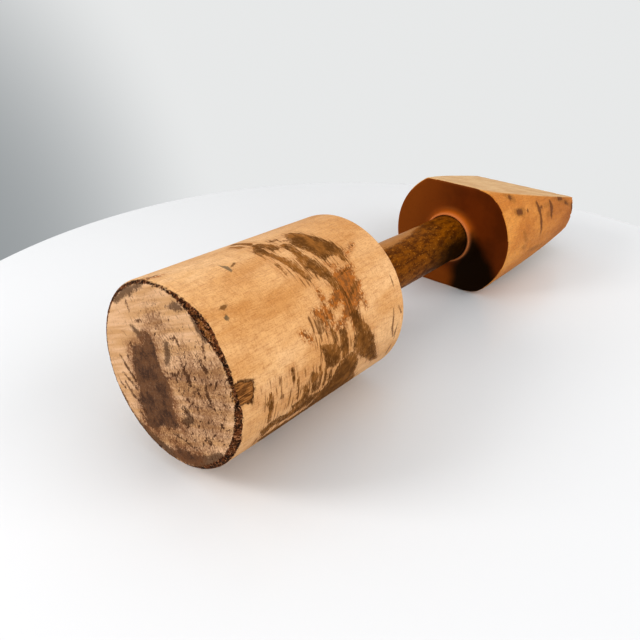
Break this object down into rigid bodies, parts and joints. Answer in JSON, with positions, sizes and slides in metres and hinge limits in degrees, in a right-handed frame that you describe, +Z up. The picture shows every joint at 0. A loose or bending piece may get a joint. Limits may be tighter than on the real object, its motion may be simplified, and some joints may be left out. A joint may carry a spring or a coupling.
{
  "type": "wooden ramming mallet",
  "caption": "Double-ended wooden mallet with a round flat-faced butt head, a short varnished round grip and a wedge-shaped peen head, for ramming and tamping.",
  "frame": {"origin": "middle of the bounding box, at the surface that the mallet lies on", "axes": "+X along the mallet from the butt to the peen, +Z up; the tool's own axis dips about 3.4 degrees towards the peen, because it lies on the butt's inner rim and the peen's lower front edge"},
  "size_m": [0.3374, 0.082, 0.0881],
  "materials": {
    "maple_butt": "worn oiled maple, end grain on the struck face",
    "varnished_grip": "dark satin varnish",
    "maple_peen": "oiled maple, dark varnish on the inner face and collar",
    "wedge_wood": "raw hardwood"
  },
  "bodies": {
    "root": {"butt_head": "maple_butt", "handle": "varnished_grip", "peen_head": "maple_peen", "butt_wedge": "wedge_wood", "peen_wedge": "wedge_wood"}
  },
  "joints": []
}
